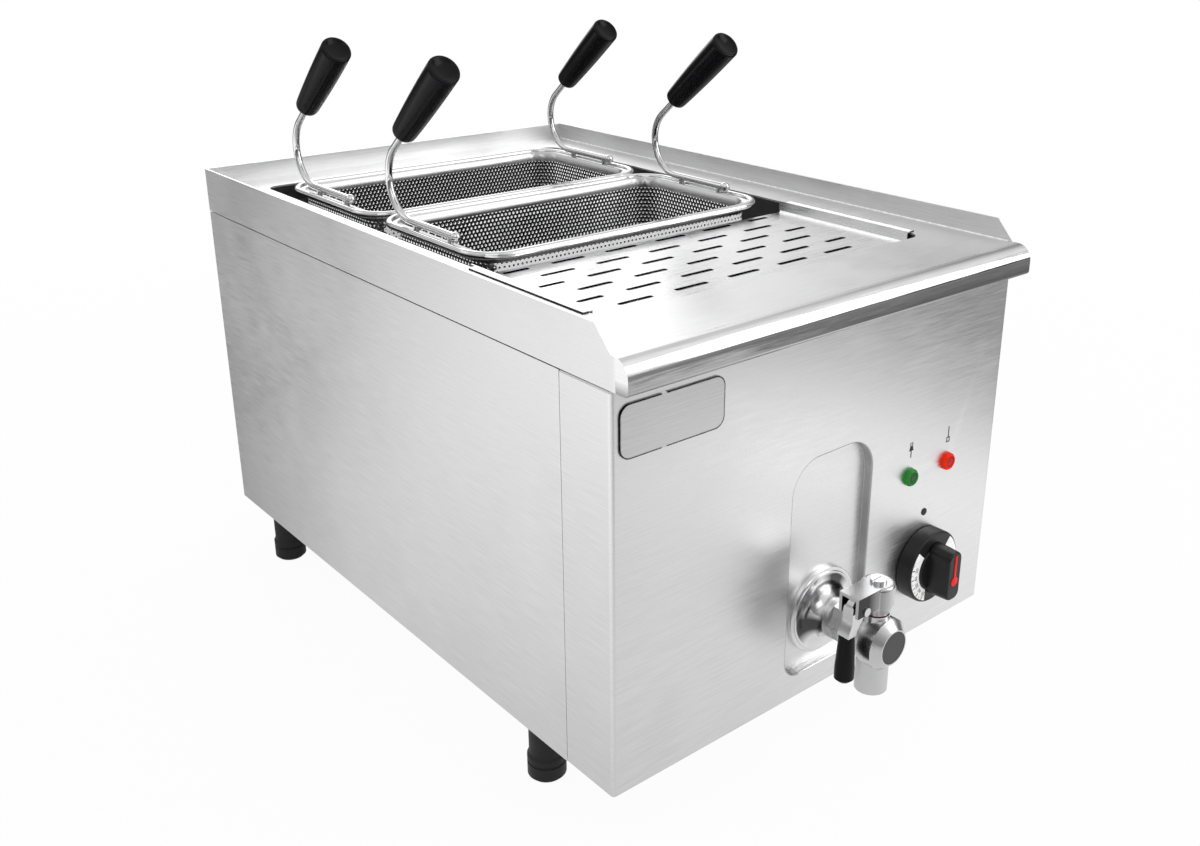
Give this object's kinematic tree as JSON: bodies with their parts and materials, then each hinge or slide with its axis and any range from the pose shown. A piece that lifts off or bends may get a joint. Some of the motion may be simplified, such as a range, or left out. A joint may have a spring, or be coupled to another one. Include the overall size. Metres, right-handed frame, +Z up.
{
  "type": "pasta cooker",
  "caption": "Countertop electric pasta cooker: brushed steel casing with a deep well, lift-out perforated baskets, slotted drain tray, lever drain tap and thermostat knob.",
  "frame": {"origin": "on the ground in the middle of the bounding box", "axes": "+Z up, the control panel and tap face -Y, +X to the right seen from the front"},
  "size_m": [0.4, 0.666, 0.5025],
  "materials": {
    "brushed_steel": "stainless sheet with a fine grain along its length",
    "satin_steel": "satin stainless sheet",
    "tray_steel": "bright satin stainless sheet",
    "badge_steel": "blank plate with a fine grain",
    "tap_chrome": "polished plating",
    "wire_chrome": "polished round wire",
    "basket_mesh": "perforated stainless sheet",
    "grip_black": "glossy moulded grip",
    "foot_black": "moulded, satin",
    "knob_black": "moulded, satin",
    "scale_white": "printed",
    "pointer_red": "inlaid",
    "lens_green": "clear coloured lens",
    "lens_red": "clear coloured lens",
    "disc_grey": "moulded insert",
    "seal_red": "moulded ring",
    "brass": "turned",
    "copper": "drawn copper",
    "element_steel": "heat-darkened tube",
    "housing_grey": "moulded housing",
    "bright_zinc": "zinc plated",
    "block_ivory": "moulded block"
  },
  "bodies": {
    "cooker": {"top_deck": "brushed_steel", "tank": "satin_steel", "front_panel": "brushed_steel", "left_side_panel": "brushed_steel", "right_side_panel": "brushed_steel", "rear_panel": "brushed_steel", "base_plate": "brushed_steel", "rear_screws": "bright_zinc", "false_bottom": "satin_steel", "heating_elements": "element_steel", "element_nuts": "brass", "sensor_bulb": "copper", "bulb_gland": "brass", "drain_pipe": "satin_steel", "tap_flange": "tap_chrome", "tap_body": "tap_chrome", "tap_cap_disc": "disc_grey", "tap_locknut": "tap_chrome", "tap_seal": "seal_red", "thermostat": "housing_grey", "lamp_green": "lens_green", "lamp_red": "lens_red", "lamp_holders": "foot_black", "index_mark": "foot_black", "badge_plate": "badge_steel", "terminal_block": "block_ivory", "cable_gland": "foot_black", "gland_nut": "foot_black", "foot_nuts": "bright_zinc"},
    "knob": {"knob": "knob_black", "knob_scale": "scale_white", "knob_pointer": "pointer_red", "thermostat_shaft": "bright_zinc"},
    "tap_handle": {"tap_head": "tap_chrome", "tap_plug": "brass", "tap_screw": "tap_chrome", "lever_pin": "tap_chrome"},
    "tap_lever": {"tap_lever": "tap_chrome", "lever_grip": "grip_black"},
    "front_basket": {"front_basket_rim": "wire_chrome", "front_basket_band": "basket_mesh", "front_basket_long_walls": "basket_mesh", "front_basket_end_walls": "basket_mesh", "front_basket_corners": "basket_mesh", "front_basket_bottom": "basket_mesh", "front_basket_handles": "wire_chrome", "front_basket_grips": "grip_black"},
    "rear_basket": {"rear_basket_rim": "wire_chrome", "rear_basket_band": "basket_mesh", "rear_basket_long_walls": "basket_mesh", "rear_basket_end_walls": "basket_mesh", "rear_basket_corners": "basket_mesh", "rear_basket_bottom": "basket_mesh", "rear_basket_handles": "wire_chrome", "rear_basket_grips": "grip_black"},
    "drain_tray": {"drain_tray": "tray_steel"},
    "foot_front_left": {"foot_front_left": "foot_black"},
    "foot_front_right": {"foot_front_right": "foot_black"},
    "foot_rear_left": {"foot_rear_left": "foot_black"},
    "foot_rear_right": {"foot_rear_right": "foot_black"}
  },
  "joints": [
    {"name": "knob_turn", "type": "hinge", "parent": "cooker", "child": "knob", "pos_m": [0.115, -0.269, 0.1145], "axis": [0, 1, 0], "range_deg": [0, 270]},
    {"name": "tap_turn", "type": "hinge", "parent": "cooker", "child": "tap_handle", "pos_m": [0.004, -0.315, 0.14], "axis": [0, 0, 1], "range_deg": [0, 90]},
    {"name": "lever_fold", "type": "hinge", "parent": "tap_handle", "child": "tap_lever", "pos_m": [-0.018, -0.315, 0.146], "axis": [0, 1, 0], "range_deg": [0, 90]},
    {"name": "front_basket_lift", "type": "slide", "parent": "cooker", "child": "front_basket", "axis": [0, 0, 1], "range_m": [0, 0.22]},
    {"name": "rear_basket_lift", "type": "slide", "parent": "cooker", "child": "rear_basket", "axis": [0, 0, 1], "range_m": [0, 0.22]},
    {"name": "drain_tray_lift", "type": "slide", "parent": "cooker", "child": "drain_tray", "axis": [0, 0, 1], "range_m": [0, 0.12]},
    {"name": "foot_front_left_turn", "type": "hinge", "parent": "cooker", "child": "foot_front_left", "pos_m": [-0.181, -0.167, 0.04], "axis": [0, 0, 1], "continuous": true},
    {"name": "foot_front_right_turn", "type": "hinge", "parent": "cooker", "child": "foot_front_right", "pos_m": [0.181, -0.167, 0.04], "axis": [0, 0, 1], "continuous": true},
    {"name": "foot_rear_left_turn", "type": "hinge", "parent": "cooker", "child": "foot_rear_left", "pos_m": [-0.181, 0.262, 0.04], "axis": [0, 0, 1], "continuous": true},
    {"name": "foot_rear_right_turn", "type": "hinge", "parent": "cooker", "child": "foot_rear_right", "pos_m": [0.181, 0.262, 0.04], "axis": [0, 0, 1], "continuous": true}
  ]
}
